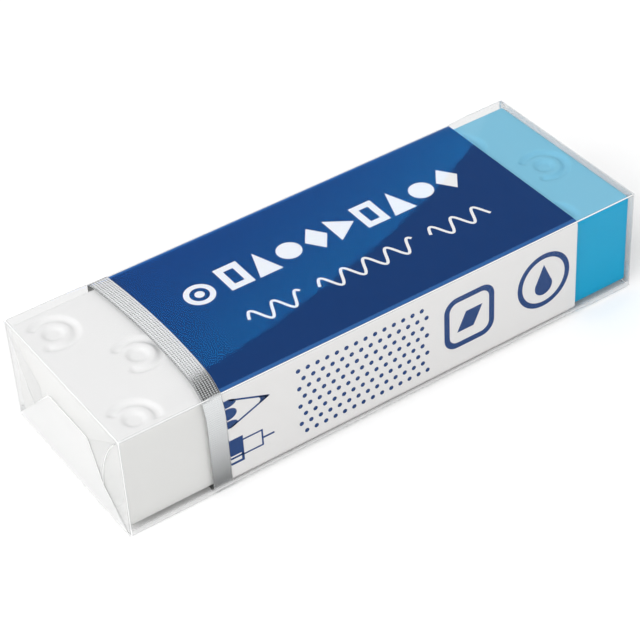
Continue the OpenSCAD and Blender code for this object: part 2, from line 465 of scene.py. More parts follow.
def metallised_tape(settings):
    """Metallised plastic tape, roller embossed: bright flats and pits, a little blurred by fine scuffs."""
    material, tree = new_material("embossed_metallised_tape")
    # Scuffs run finer than this. They are drawn at 0.15 mm so that they show.
    scuffs = grain(tree, 0.15 * MM, 2.0)
    bump = add_node(tree, "ShaderNodeBump", {"Strength": 0.1, "Distance": 0.001 * MM}, {"Height": scuffs})
    dull = add_node(
        tree, "ShaderNodeMapRange", {"To Min": 0.03, "To Max": 0.05}, {"Value": grain(tree, 1.2 * MM)}
    )
    shader = add_node(
        tree, "ShaderNodeBsdfPrincipled", {"Metallic": 1.0, "Base Color": settings.silver},
        {"Roughness": dull.outputs[0], "Normal": bump.outputs["Normal"]},
    )
    show(tree, shader)
    return material


def clear_film(settings):
    """Polypropylene film, stretched and heat sealed: clear, bright at a slant, grey along its creases as
    painted shade and white at their crests, partly as a painted highlight.
    """
    material, tree = new_material("clear_polypropylene_film")
    # The shine rises the more at a slant the film is seen, as it does from both of its faces.
    weight = add_node(tree, "ShaderNodeLayerWeight", {"Blend": 0.5})
    rise = add_node(
        tree, "ShaderNodeMath", {"operation": "POWER", 1: SLANT_RISE}, {0: weight.outputs["Facing"]}
    )
    shine = add_node(
        tree, "ShaderNodeMath", {"operation": "MULTIPLY_ADD", 1: SLANT_SHINE, 2: settings.shine},
        {0: rise.outputs[0]},
    )
    # The mesh says how near a point lies to the crest of a crease or to an edge, and how hazy its layer is,
    # with the milk low on the walls painted light.
    crease = add_node(tree, "ShaderNodeAttribute", {"attribute_name": "crease"})
    haze_and_painted_light = add_node(tree, "ShaderNodeAttribute", {"attribute_name": "haze_and_painted_light"})
    # Painted shade: what is seen through a fold or a free edge is tinted grey.
    bent = add_node(
        tree, "ShaderNodeMapRange", {"interpolation_type": "SMOOTHSTEP", "From Min": 0.1, "From Max": 0.7},
        {"Value": crease.outputs["Fac"]},
    )
    white = add_node(
        tree, "ShaderNodeMapRange", {"interpolation_type": "SMOOTHSTEP", "From Min": 0.5, "From Max": 0.9},
        {"Value": crease.outputs["Fac"]},
    )
    crest = add_node(
        tree, "ShaderNodeMath", {"operation": "MULTIPLY_ADD", 1: settings.crest_whitening_and_highlight},
        {0: white.outputs[0], 2: haze_and_painted_light.outputs["Fac"]},
    )
    tint = add_node(
        tree, "ShaderNodeMix", {"data_type": "RGBA", MIX_A: settings.clear, MIX_B: settings.crease},
        {0: bent.outputs[0]},
    )
    clear = add_node(tree, "ShaderNodeBsdfTransparent", {}, {"Color": tint.outputs[MIX_RESULT]})
    gloss = add_node(tree, "ShaderNodeBsdfGlossy", {"Color": (1, 1, 1, 1), "Roughness": 0.02})
    film = add_node(
        tree, "ShaderNodeMixShader", {}, {0: shine.outputs[0], 1: clear.outputs[0], 2: gloss.outputs[0]}
    )
    # Stretched film is white with tiny cracks, and the crest of each fold is whitened further as a painted
    # highlight: part scatters light, and part mirrors the room softly.
    scatter = add_node(tree, "ShaderNodeBsdfDiffuse", {"Color": settings.milk})
    mirror = add_node(tree, "ShaderNodeBsdfGlossy", {"Color": settings.milk, "Roughness": 0.4})
    milk = add_node(
        tree, "ShaderNodeMixShader", {0: MILK_SHEEN}, {1: scatter.outputs[0], 2: mirror.outputs[0]}
    )
    show(tree, add_node(
        tree, "ShaderNodeMixShader", {}, {0: crest.outputs[0], 1: film.outputs[0], 2: milk.outputs[0]}
    ))
    return material


def paper_floor():
    """A matt white paper sweep, shown white to the eye and to gloss, with the shadow kept."""
    material, tree = new_material("white_paper_sweep")
    fibres = add_node(
        tree, "ShaderNodeBump", {"Strength": 0.05, "Distance": 0.05 * MM}, {"Height": grain(tree, 1.0 * MM)}
    )
    paper = add_node(
        tree, "ShaderNodeBsdfDiffuse", {"Color": srgb("#f4f4f4")}, {"Normal": fibres.outputs["Normal"]}
    )
    rays = add_node(tree, "ShaderNodeLightPath")
    seen = add_node(
        tree, "ShaderNodeMath", {"operation": "MAXIMUM"},
        {0: rays.outputs["Is Camera Ray"], 1: rays.outputs["Is Glossy Ray"]},
    )
    lift = add_node(tree, "ShaderNodeMath", {"operation": "MULTIPLY", 1: FLOOR_LIFT}, {0: seen.outputs[0]})
    glow = add_node(
        tree, "ShaderNodeEmission", {"Color": (1, 1, 1, 1)}, {"Strength": lift.outputs[0]}
    )
    show(tree, add_node(tree, "ShaderNodeAddShader", {}, {0: paper.outputs[0], 1: glow.outputs[0]}))
    return material


def light_card(name, strength, see_past):
    """A studio card that glows in its mesh's colours. With see_past, it hides nothing behind it."""
    material, tree = new_material(name)
    tone = add_node(tree, "ShaderNodeAttribute", {"attribute_name": "tone"})
    glow = add_node(tree, "ShaderNodeEmission", {"Strength": strength}, {"Color": tone.outputs["Color"]})
    if see_past:
        clear = add_node(tree, "ShaderNodeBsdfTransparent", {"Color": (1, 1, 1, 1)})
        glow = add_node(tree, "ShaderNodeAddShader", {}, {0: glow.outputs[0], 1: clear.outputs[0]})
    show(tree, glow)
    return material


# Meshes

def ramp(value, low, high):
    """0 up to low, 1 from high on, and a smooth rise between them."""
    share = min(max((value - low) / (high - low), 0.0), 1.0)
    return share * share * (3 - 2 * share)


def mix(a, b, share):
    """The value that lies a share of the way from a to b."""
    return a + (b - a) * share


def rounded_loop(low, high, radius, arc_steps, across, up):
    """Points round an upright rectangle with round corners. low and high are its corners as (y, z).

    across and up say how many spans its level and upright sides have.
    """
    corners = (
        (low[0] + radius, low[1] + radius, 180, across),
        (high[0] - radius, low[1] + radius, 270, up),
        (high[0] - radius, high[1] - radius, 0, across),
        (low[0] + radius, high[1] - radius, 90, up),
    )
    arcs = []
    for y, z, start, spans in corners:
        angles = [math.radians(start + 90 * step / arc_steps) for step in range(arc_steps + 1)]
        arcs.append([(y + radius * math.cos(a), z + radius * math.sin(a)) for a in angles])
    points = []
    for index, arc in enumerate(arcs):
        following = arcs[(index + 1) % len(arcs)][0]
        spans = corners[index][3]
        points += arc
        points += [
            (mix(arc[-1][0], following[0], step / spans), mix(arc[-1][1], following[1], step / spans))
            for step in range(1, spans)
        ]
    return points


def skin(bm, rings):
    """Quads between neighbouring rings of points. A ring's last point joins its first."""
    made = [[bm.verts.new(point) for point in ring] for ring in rings]
    for near, far in zip(made, made[1:]):
        for i in range(len(near)):
            j = (i + 1) % len(near)
            bm.faces.new((near[i], near[j], far[j], far[i]))
    return made


def into_scene(name, data):
    """A new object in the scene, made from its mesh, camera or light."""
    thing = bpy.data.objects.new(name, data)
    bpy.context.scene.collection.objects.link(thing)
    return thing


def finish_mesh(bm, name, material, sharp=40):
    """Turns a bmesh into a shaded object in the scene. Edges sharper than sharp degrees stay crisp."""
    bmesh.ops.recalc_face_normals(bm, faces=bm.faces)
    mesh = bpy.data.meshes.new(name)
    bm.to_mesh(mesh)
    bm.free()
    mesh.materials.append(material)
    mesh.shade_smooth()
    mesh.set_sharp_from_angle(angle=math.radians(sharp))
    return into_scene(name, mesh)


def thicken(piece, thickness):
    """Gives a sheet its thickness, on the side that its normals leave."""
    modifier = piece.modifiers.new("thickness", "SOLIDIFY")
    modifier.thickness = thickness
    modifier.offset = -1
    bpy.context.view_layer.objects.active = piece
    with bpy.context.temp_override(object=piece, active_object=piece, selected_objects=[piece]):
        bpy.ops.object.modifier_apply(modifier="thickness")


# Eraser bar

def sunk_at(x, y, bar):
    """How far the marks sink the bar's top at a point."""
    middle = (WHITE_LOW.y + WHITE_HIGH.y) / 2 - bar.mark_off_middle
    first = WHITE_LOW.x + bar.mark_start
    nearest = round((x - first) / bar.mark_pitch)
    half_gap = math.radians((360 - MARK_SWEEP) / 2)
    sunk = 0.0
    for row in range(max(nearest - 1, 0), nearest + 2):
        for line in (-1, 1) if row % 2 == 0 else (0,):
            across = y - middle - line * bar.mark_line_gap
            along = x - first - row * bar.mark_pitch
            away = math.hypot(along, across)
            ring = 1 - ramp(abs(away - bar.mark_radius), 0.15 * bar.mark_groove, 0.8 * bar.mark_groove)
            ring *= ramp(abs(math.atan2(across, -along)), half_gap - 0.15, half_gap + 0.15)
            dot = 1 - ramp(away, 0.6 * bar.mark_dot, 1.3 * bar.mark_dot)
            sunk = max(sunk, ring, dot)
    from_side = min(y - WHITE_LOW.y, WHITE_HIGH.y - y) / MM
    from_end = min(x - WHITE_LOW.x, BLUE_HIGH.x - x) / MM
    return sunk * bar.mark_depth * ramp(from_side, MARK_MARGIN, MARK_MARGIN + 0.5) * ramp(from_end, 0.15, 0.8)


def bar_half(name, free_x, bond_x, shown, material, bar):
    """Half of the bar, from its free end to the bond. shown is how much of it the sleeve leaves bare."""
    inward = 1 if bond_x > free_x else -1
    round_steps = 4
    stations = []
    for step in range(round_steps + 1):
        angle = math.radians(90 * step / round_steps)
        stations.append((CUT_EDGE * MM * (1 - math.cos(angle)), CUT_EDGE * MM * (1 - math.sin(angle))))
    spans = round(shown / (MARK_GRID * MM))
    stations += [(mix(CUT_EDGE * MM, shown, step / spans), 0.0) for step in range(1, spans + 1)]
    stations.append((abs(bond_x - free_x), 0.0))
    low = (WHITE_LOW.y, WHITE_LOW.z)
    high = (WHITE_HIGH.y, WHITE_HIGH.z)
    across = round((high[0] - low[0]) / (MARK_GRID * MM))
    rings = []
    for distance, inset in stations:
        x = free_x + inward * distance
        loop = rounded_loop(
            (low[0] + inset, low[1] + inset), (high[0] - inset, high[1] - inset),
            bar.edge_radius - inset / 2, 4, across, 12,
        )
        rings.append([
            (x, y, z - (sunk_at(x, y, bar) if z > high[1] - 0.5 * bar.edge_radius else 0)) for y, z in loop
        ])
    bm = bmesh.new()
    made = skin(bm, rings)
    bm.faces.new(made[0])
    bm.faces.new(made[-1])
    return finish_mesh(bm, name, material)


# Print

def along_top(x, y):
    """A place on the sleeve's top, from millimetres past the white end and the bar's near side."""
    return Vector((WHITE_LOW.x + x * MM, WHITE_LOW.y + y * MM, SLEEVE_HIGH.z + INK_LIFT * MM))


def along_side(x, z):
    """A place on the sleeve's near side, from millimetres past the white end and the bar's underside."""
    return Vector((WHITE_LOW.x + x * MM, SLEEVE_LOW.y - INK_LIFT * MM, WHITE_LOW.z + z * MM))


def arc(centre, radius, start, end, steps=32):
    """Points along part of a circle, from one angle to another in degrees."""
    angles = [math.radians(mix(start, end, step / steps)) for step in range(steps + 1)]
    return [(centre[0] + radius * math.cos(a), centre[1] + radius * math.sin(a)) for a in angles]


def circle(centre, radius, steps=48):
    """Points round a whole circle."""
    return arc(centre, radius, 0, 360, steps)[:-1]


def slab(left, low, width, height):
    """A rectangle."""
    return [(left, low), (left + width, low), (left + width, low + height), (left, low + height)]


def rounded_slab(left, low, width, height, radius):
    """A rectangle with round corners."""
    near, far = left + radius, left + width - radius
    bottom, top = low + radius, low + height - radius
    corners = ((far, bottom, -90), (far, top, 0), (near, top, 90), (near, bottom, 180))
    return [point for x, y, start in corners for point in arc((x, y), radius, start, start + 90, 8)]


def stroke(points, width):
    """The outline of a line drawn with a pen of one width."""
    left, right = [], []
    for index, point in enumerate(points):
        before = Vector(points[max(index - 1, 0)])
        after = Vector(points[min(index + 1, len(points) - 1)])
        way = (after - before).normalized()
        aside = Vector((-way.y, way.x)) * width / 2
        left.append(tuple(Vector(point) + aside))
        right.append(tuple(Vector(point) - aside))
    return left + right[::-1]


def ink_piece(name, shapes, place, material):
    """A thin layer of ink. Each shape is an outline and then its holes, in millimetres on the card."""
    bm = bmesh.new()
    for outlines in shapes:
        flat = [[Vector((*point, 0)) for point in outline] for outline in outlines]
        verts = [bm.verts.new(place(*point)) for outline in outlines for point in outline]
        for corners in tessellate_polygon(flat):
            bm.faces.new([verts[i] for i in corners])
    bmesh.ops.dissolve_degenerate(bm, edges=bm.edges, dist=1e-7)
    outward = (place(0, 0) - Vector((WHITE_LOW.x, WHITE_HIGH.y, WHITE_LOW.z))).normalized()
    for face in bm.faces:
        if face.normal.dot(outward) < 0:
            face.normal_flip()
    piece_mesh = bpy.data.meshes.new(name)
    bm.to_mesh(piece_mesh)
    bm.free()
    piece_mesh.materials.append(material)
    piece = into_scene(name, piece_mesh)
    thicken(piece, INK_THICK * MM)
    return piece


def top_shapes():
    """White print on the sleeve's top: a ringed dot, a row of plain shapes and three wavy lines."""
    shapes = [[circle((18.3, 14.2), 1.75), circle((18.3, 14.2), 1.1)], [circle((18.3, 14.2), 0.55)]]
    low, tall, wide, gap, rim = 12.6, 4.1, 2.9, 0.62, 0.85
    top = low + tall
    for index in range(9):
        left = 21.4 + index * (wide + gap)
        right = left + wide
        middle = (left + wide / 2, low + tall / 2)
        kind = index % 5
        if kind == 0:
            hole = slab(left + rim, low + rim, wide - 2 * rim, tall - 2 * rim)
            shapes.append([slab(left, low, wide, tall), hole])
        elif kind == 1:
            shapes.append([[(left, low), (right, low), (middle[0], top)]])
        elif kind == 2:
            shapes.append([circle(middle, wide / 2)])
        elif kind == 3:
            shapes.append([[(left, middle[1]), (middle[0], low), (right, middle[1]), (middle[0], top)]])
        else:
            shapes.append([[(left, low), (right, middle[1]), (left, top)]])
    level, height, turn, pen = 7.5, 1.15, 2.2, 0.34
    for start, end in ((20.2, 27.0), (29.0, 41.5), (43.5, 51.0)):
        steps = round((end - start) * 12)
        wave = []
        for step in range(steps + 1):
            x = mix(start, end, step / steps)
            wave.append((x, level + height * math.sin((x - start) * turn)))
        shapes.append([stroke(wave, pen)])
    return shapes


def side_shapes():
    """Blue print on the sleeve's near side: a pencil, a pen, a field of dots and two plain pictures."""
    shapes = []
    # Pencil, with a painted barrel that the cut leaves scalloped
    shapes.append([stroke([(12.4, 10.55), (17.1, 8.7)], 0.22)])
    shapes.append([stroke([(12.4, 6.85), (17.1, 8.7)], 0.22)])
    shapes.append([[(15.9, 9.2), (17.3, 8.7), (15.9, 8.2), (16.15, 8.7)]])
    for centre_z, half in ((10.1, 0.5), (8.7, 0.75), (7.3, 0.5)):
        bulge = [(12.2 + 1.1 * x, centre_z + half * z) for x, z in arc((0, 0), 1.0, -90, 90, 16)]
        shapes.append([[(11.4, centre_z - half)] + bulge + [(11.4, centre_z + half)]])
    # Pen, with a dark barrel and its clip, a clear collar and a fine point
    shapes.append([slab(11.4, 2.95, 2.3, 2.2)])
    shapes.append([slab(11.4, 2.5, 2.3, 0.25)])
    shapes.append([slab(11.4, 1.75, 2.3, 0.3)])
    shapes.append([slab(13.4, 2.05, 0.3, 0.9)])
    shapes.append([slab(13.7, 2.45, 2.4, 2.2), slab(13.7, 2.65, 2.2, 1.8)])
    shapes.append([slab(16.1, 3.35, 1.35, 0.24)])
    # A plain field of dots, each row set between the dots of the one above it
    for row in range(DOT_ROWS):
        start = 20.8 + (row % 2) * DOT_PITCH / 2
        for place in range(DOTS_IN_ROW):
            shapes.append([circle((start + place * DOT_PITCH, 9.9 - row * DOT_PITCH), DOT_RADIUS)])
    # A rounded frame round a plain eraser
    shapes.append([rounded_slab(39.3, 2.5, 6.7, 6.9, 1.7), rounded_slab(40.0, 3.2, 5.3, 5.5, 1.1)])
    shapes.append([[(41.0, 4.6), (43.2, 4.6), (44.4, 7.0), (42.2, 7.0)]])
    # A ring round a plain drop
    shapes.append([circle((52.8, 6.0), 3.6), circle((52.8, 6.0), 2.95)])
    shapes.append([arc((52.8, 5.2), 1.2, -215, 35, 24) + [(52.8, 8.1)]])
    return shapes


# Tear tape

def tape_middle_x(y, z):
    """Where the tape's middle lies along the pack: bowed across it, and slipped back at the near edge."""
    half_pack = (STRIP_HIGH.y - STRIP_LOW.y) / 2
    bow = TAPE_BOW * MM
    radius = (half_pack ** 2 + bow ** 2) / (2 * bow)
    from_edge = math.hypot(y - STRIP_LOW.y, z - STRIP_HIGH.z) / (TAPE_SLIP_REACH * MM)
    slip = TAPE_SLIP * MM * math.exp(-from_edge ** 2)
    return STRIP_HIGH.x - TAPE_WIDTH * MM / 2 - radius + math.sqrt(radius ** 2 - y ** 2) - slip


def tape_mesh(tape, material):
    """The tape: a band right round the pack, with pits pressed into it and its edges turned in."""
    cell = tape.emboss_pitch / PIT_CELLS
    margin = TAPE_INSET * MM
    wide = STRIP_HIGH.y - STRIP_LOW.y
    tall = STRIP_HIGH.z - STRIP_LOW.z
    fold_steps = 20
    levels = []
    for depth in (margin, margin + TAPE_EMBOSS * MM):
        levels.append(rounded_loop(
            (STRIP_LOW.y + depth, STRIP_LOW.z + depth), (STRIP_HIGH.y - depth, STRIP_HIGH.z - depth),
            TAPE_FOLD * MM - depth, fold_steps, round(wide / cell), round(tall / cell),
        ))
    across = round(TAPE_WIDTH * MM / cell)
    rings = []
    for step in range(across + 1):
        offset = (step / across - 0.5) * (TAPE_WIDTH * MM - 2 * margin)
        ring = []
        for index in range(len(levels[0])):
            pit = step % PIT_CELLS == PIT_CELLS - 1 and index % PIT_CELLS == 0
            y, z = levels[1 if pit or step in (0, across) else 0][index]
            ring.append((tape_middle_x(y, z) + offset, y, z))
        rings.append(ring)
    bm = bmesh.new()
    skin(bm, rings)
    piece = finish_mesh(bm, "tear_tape", material, sharp=5)
    thicken(piece, TAPE_THICK * MM)
    return piece


# Film

def slack(x, y, z):
    """How far the film sinks inwards from a true box at a place, for its faint waves."""
    place = Vector([part * waves for part, waves in zip((x, y, z), FILM_WAVES_IN_METRE)])
    return FILM_WAVE * MM * (0.5 + 0.5 * noise.noise(place))


def crest(step, steps, radius):
    """1 at the middle of a fold's rounding, falling to 0 within the crease's reach of it."""
    from_middle = abs(step / steps - 0.5) * math.pi / 2 * radius
    return max(1 - from_middle / (CREASE_REACH * MM), 0.0)


def low_wall_painted_light(z):
    """How milky the film's walls are at a height: most low down, as painted light that lifts the shadow seen
    through them under the bar.
    """
    return LOW_WALL_PAINTED_LIGHT * (1 - ramp((z - FILM_LOW.z) / MM, *LOW_WALL_PAINTED_LIGHT_FADE))


def fold_radius_at(x, film):
    """Rounding of the film's long folds at a place along the pack."""
    past_card = max(SLEEVE_LOW.x - x, x - SLEEVE_HIGH.x, 0.0) / MM
    return mix(FILM_FOLD_OVER_CARD * MM, film.fold_radius, ramp(past_card, 0.0, FILM_FOLD_CHANGE))


def film_tube(bm, film, layers):
    """The film's outer surface, with rounded folds and closed ends."""
    crease, haze_and_painted_light = layers
    inset = FILM_INSET * MM
    low = (FILM_LOW.y + inset, FILM_LOW.z + inset)
    high = (FILM_HIGH.y - inset, FILM_HIGH.z - inset)
    first, last = FILM_LOW.x + END_LAYERS * MM, FILM_HIGH.x - END_LAYERS * MM
    end_steps, fold_steps, across, up, spans = 6, 8, 60, 36, 120
    ends = []
    for step in range(end_steps + 1):
        angle = math.radians(90 * step / end_steps)
        rise = film.end_radius * (1 - math.sin(angle))
        ends.append((film.end_radius * (1 - math.cos(angle)), rise, crest(step, end_steps, film.end_radius)))
    stations = [(first + along, rise, bent) for along, rise, bent in ends]
    start, end = first + film.end_radius, last - film.end_radius
    stations += [(mix(start, end, step / spans), 0.0, 0.0) for step in range(1, spans)]
    stations += [(last - along, rise, bent) for along, rise, bent in reversed(ends)]
    rings, bends = [], []
    for x, rise, end_bent in stations:
        radius = fold_radius_at(x, film) - rise / 2
        loop = rounded_loop(
            (low[0] + rise, low[1] + rise), (high[0] - rise, high[1] - rise), radius, fold_steps, across, up
        )
        loop_bends = []
        for side_spans in (across, up, across, up):
            loop_bends += [crest(step, fold_steps, radius) for step in range(fold_steps + 1)]
            loop_bends += [0.0] * (side_spans - 1)
        ring = []
        for y, z in loop:
            # The waves leave the folds straight.
            side = min(y - low[0], high[0] - y) < min(z - low[1], high[1] - z)
            reach = (min(z - low[1], high[1] - z) if side else min(y - low[0], high[0] - y)) / MM
            if reach > FILM_WAVES_FROM_FOLD[0] and rise == 0:
                depth = slack(x, y, z) * ramp(reach, *FILM_WAVES_FROM_FOLD)
                if side:
                    y += depth if y < 0 else -depth
                else:
                    z += depth if z - low[1] < high[1] - z else -depth
            ring.append((x, y, z))
        rings.append(ring)
        bends.append([max(bent, end_bent) for bent in loop_bends])
    made = skin(bm, rings)
    for ring, ring_bends in zip(made, bends):
        for vert, bent in zip(ring, ring_bends):
            vert[crease] = bent
            # Painted light: milk low on the near and far walls lifts the shadow seen under the bar.
            if min(vert.co.y - low[0], high[0] - vert.co.y) < WALL_DEPTH * MM:
                vert[haze_and_painted_light] = low_wall_painted_light(vert.co.z)
    for ring in (made[0], made[-1]):
        bm.faces.new(ring)
        for vert in ring:
            vert[haze_and_painted_light] = END_HAZE


def flap_outline_top():
    """The top flap, hung from the pack's upper edge, as (in from the far side, down from the top)."""
    tip = FILM_DEEP - TOP_FLAP_SHORT
    steps = 12
    near_side = []
    for step in range(steps + 1):
        share = step / steps
        near_side.append((FILM_WIDE - TOP_FLAP_NEAR_IN * (1 - (1 - share) ** TOP_FLAP_BOW), tip * share))
    return [(0.0, 0.0)] + near_side + [(TOP_FLAP_FAR_IN, tip)]


def flap_outline_bottom():
    """The bottom flap, risen from the pack's lower edge, as (in from the far side, down from the top)."""
    tip = FILM_DEEP - BOTTOM_FLAP_LENGTH
    return [
        (0.0, FILM_DEEP), (BOTTOM_FLAP_LENGTH, tip), (FILM_WIDE - BOTTOM_FLAP_NEAR_IN, tip),
        (FILM_WIDE - BOTTOM_FLAP_KNEE_IN, FILM_DEEP - BOTTOM_FLAP_KNEE), (FILM_WIDE, FILM_DEEP),
    ]


def round_corners(outline, radius, keep):
    """The outline with its corners rounded, apart from those whose places in the list are in keep."""
    rounded = []
    count = len(outline)
    steps = 6
    for index, point in enumerate(outline):
        here = Vector(point)
        to_last = Vector(outline[index - 1]) - here
        to_next = Vector(outline[(index + 1) % count]) - here
        if index in keep:
            rounded.append(here)
            continue
        reach = min(radius, to_last.length * 0.45, to_next.length * 0.45)
        start, end = here + to_last.normalized() * reach, here + to_next.normalized() * reach
        for step in range(steps + 1):
            share = step / steps
            rounded.append(start.lerp(here, share).lerp(here.lerp(end, share), share))
    return rounded


def signed_area(outline):
    """Half the sum of the outline's cross products: positive when it runs anticlockwise."""
    return sum(a.cross(b) for a, b in zip(outline, outline[1:] + outline[:1])) / 2


def film_sheet(bm, outline, place, layers, cloud, rim, is_free):
    """A flat layer of film, whitened along its outline, with free edges that curl a little.

    place turns a point of the outline and its curl into a place on the pack. layers holds the mesh's crease
    and haze layers. cloud is how hazy the sheet is, and rim is how strongly its free edges show. is_free says
    whether an edge is free rather than hinged.
    """
    crease, haze_and_painted_light = layers
    points = [Vector(point) for point in outline]
    if signed_area(points) < 0:
        points.reverse()
    count = len(points)
    rings = []
    for inset, curl, _ in EDGE_PROFILE:
        ring = []
        for index, point in enumerate(points):
            before = (point - points[index - 1]).normalized()
            after = (points[(index + 1) % count] - point).normalized()
            way = (before + after).normalized()
            aside = Vector((-way.y, way.x)) * inset / max(way.dot(after), 0.5)
            ring.append(place(point + aside, curl if is_free(point) else 0.0))
        rings.append(ring)
    made = skin(bm, rings)
    for ring, (_, _, bent) in zip(made, EDGE_PROFILE):
        for vert, point in zip(ring, points):
            vert[crease] = rim * bent if is_free(point) else 0.0
            vert[haze_and_painted_light] = cloud
    bm.faces.new(made[-1])


def film_ends(bm, layers):
    """The folds that close both ends: two side tucks, then the top flap, then the bottom flap."""
    wide, deep, edge = FILM_WIDE, FILM_DEEP, HINGE_IN
    rise = TUCK_LENGTH * deep / (deep + TUCK_LENGTH)
    far_tuck = [(edge, edge), (TUCK_LENGTH, rise), (TUCK_LENGTH, deep - rise), (edge, deep - edge)]
    near_tuck = [(wide - x, y) for x, y in far_tuck]
    top_points = [(min(max(x, edge), wide - edge), max(y, edge)) for x, y in flap_outline_top()]
    top = round_corners(top_points, TOP_FLAP_CORNER, range(len(top_points) - 2))
    bottom_points = [
        (min(max(x, edge), wide - edge), min(y, deep - edge)) for x, y in flap_outline_bottom()
    ]
    bottom = round_corners(bottom_points, BOTTOM_FLAP_CORNER, (0, len(bottom_points) - 1))
    for end_x, outward in ((FILM_LOW.x, -1), (FILM_HIGH.x, 1)):
        for outline, depth, cloud, rim, hinged in (
            (far_tuck, TUCK_DEPTH, TUCK_HAZE, TUCK_RIM, lambda p: p.x < 2 * edge),
            (near_tuck, TUCK_DEPTH, TUCK_HAZE, TUCK_RIM, lambda p: p.x > wide - 2 * edge),
            (top, TOP_FLAP_DEPTH, TOP_FLAP_HAZE, FLAP_RIM, lambda p: p.y < 2 * edge),
            (bottom, BOTTOM_FLAP_DEPTH, BOTTOM_FLAP_HAZE, FLAP_RIM, lambda p: p.y > deep - 2 * edge),
        ):
            def place(point, curl, end_x=end_x, outward=outward, depth=depth):
                x = end_x - outward * (depth - FLAP_CURL * curl) * MM
                return x, FILM_HIGH.y - point.x * MM, FILM_HIGH.z - point.y * MM

            film_sheet(bm, outline, place, layers, cloud, rim, lambda p, hinged=hinged: not hinged(p))


def film_lap(bm, layers):
    """The lap under the pack, where the film's long edges are sealed over each other."""
    low_x = (FILM_LOW.x + LAP_END_GAP * MM) / MM
    high_x = (FILM_HIGH.x - LAP_END_GAP * MM) / MM
    half = FILM_LAP / 2
    outline = [(low_x, -half), (high_x, -half), (high_x, half), (low_x, half)]

    def place(point, curl):
        return point.x * MM, point.y * MM, FILM_LOW.z + LAP_RISE * MM

    film_sheet(bm, outline, place, layers, LAP_HAZE, FLAP_RIM, lambda p: True)


def film_mesh(film, material):
    """The film: a tube with rounded folds, the folds that close its ends and the lap under it."""
    bm = bmesh.new()
    layers = [bm.verts.layers.float.new(name) for name in ("crease", "haze_and_painted_light")]
    film_tube(bm, film, layers)
    film_ends(bm, layers)
    film_lap(bm, layers)
    piece = finish_mesh(bm, "film_overwrap", material, sharp=60)
    thicken(piece, film.thickness)
    # Clear film shades nothing.
    piece.visible_shadow = False
    return piece


# Stage

def camera_axes(stage):
    """The camera's right, up and back directions."""
    turn, rise, roll = stage.azimuth, stage.elevation, stage.roll
    back = Vector((math.sin(turn) * math.cos(rise), -math.cos(turn) * math.cos(rise), math.sin(rise)))
    level = Vector((0, 0, 1)).cross(back).normalized()
    upright = back.cross(level)
    right = level * math.cos(roll) + upright * math.sin(roll)
    return right, back.cross(right), back


def add_camera(stage):
    """The camera, at the photograph's viewing angle."""
    right, up, back = camera_axes(stage)
    turned = Matrix((right, up, back)).transposed().to_4x4()
    data = bpy.data.cameras.new("camera")
    data.lens = stage.lens
    data.clip_start = 0.01
    camera = into_scene("camera", data)
    camera.matrix_world = Matrix.Translation(Vector(AIM) * MM + back * stage.distance) @ turned
    bpy.context.scene.camera = camera
    return camera


def mirrored(camera_place, x, y, card_distance):
    """Where the camera sees a point of the film's top reflect, on an upright card behind the pack."""
    spot = Vector((WHITE_LOW.x + x * MM, WHITE_LOW.y + y * MM, FILM_HIGH.z))
    sight = spot - camera_place
    sight.z = -sight.z
    return spot + sight * ((card_distance - spot.y) / sight.y)


def lit_group(name):
    """The group of pieces that some cards light alone. It is made when it is first asked for."""
    return bpy.data.collections.get(name) or bpy.data.collections.new(name)


def add_card(name, rows, tones, strength, group=None):
    """A studio card that only gloss sees, as rows of points with the colour of its light at each.

    With a group, it lights only that group's pieces, and gloss sees past it to what is behind.
    """
    count = len(rows[0])
    faces = [
        (row * count + i, row * count + i + 1, (row + 1) * count + i + 1, (row + 1) * count + i)
        for row in range(len(rows) - 1) for i in range(count - 1)
    ]
    mesh = bpy.data.meshes.new(name)
    mesh.from_pydata([point for row in rows for point in row], [], faces)
    colours = mesh.color_attributes.new("tone", "FLOAT_COLOR", "POINT")
    for item, tone in zip(colours.data, [tone for row in tones for tone in row]):
        item.color = (*tone, 1.0)
    mesh.materials.append(light_card(name, strength, group is not None))
    card = into_scene(name, mesh)
    card.visible_camera = False
    card.visible_diffuse = False
    card.visible_shadow = False
    card.visible_transmission = False
    if group:
        card.light_linking.receiver_collection = lit_group(group)
    card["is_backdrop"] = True


def add_cards(stage, eye):
    """What the film and the tape mirror: a lit card with a crisp edge, and dark and bright ones round it."""
    rows, tones = [], []
    for rise, share in GLOSS_ROWS:
        rows.append([mirrored(eye, x, y + rise, FILM_CARD_DISTANCE) for x, y, _, _ in GLOSS_EDGE])
        tones.append([
            [mix(near, far, share) for near, far in zip(near_tone, far_tone)]
            for _, _, near_tone, far_tone in GLOSS_EDGE
        ])
    add_card("film_card", rows, tones, stage.film_glow, SEEN_BY_FILM)
    rows = [
        [mirrored(eye, x, y + rise, TAPE_CARD_DISTANCE) for x, y in TAPE_CARD_EDGE]
        for rise, _ in TAPE_CARD_ROWS
    ]
    tones = [[(tone,) * 3] * len(TAPE_CARD_EDGE) for _, tone in TAPE_CARD_ROWS]
    add_card("tape_card", rows, tones, stage.tape_glow, SEEN_BY_TAPE)
    behind = [[mirrored(eye, x, y, SHADE_CARD_DISTANCE) for x in (-120, 110)] for y in (-30, 80)]
    add_card("shade_card", behind, EVEN_TONES, stage.shade)
    # Overhead, seen where the tape turns over the near edge
    above = [[(x, y, 0.55) for x in (0.0, 0.6)] for y in (-0.12, 0.3)]
    add_card("overhead_card", above, EVEN_TONES, stage.shade)
    # On the floor in front, seen low on the near side, and dark where it is nearest the pack
    front = [[(x, FILM_LOW.y - y, 0.0003) for x in (-0.06, 0.08)] for y, _ in FRONT_TONES]
    add_card("front_card", front, [[(tone,) * 3] * 2 for _, tone in FRONT_TONES], 1.0)


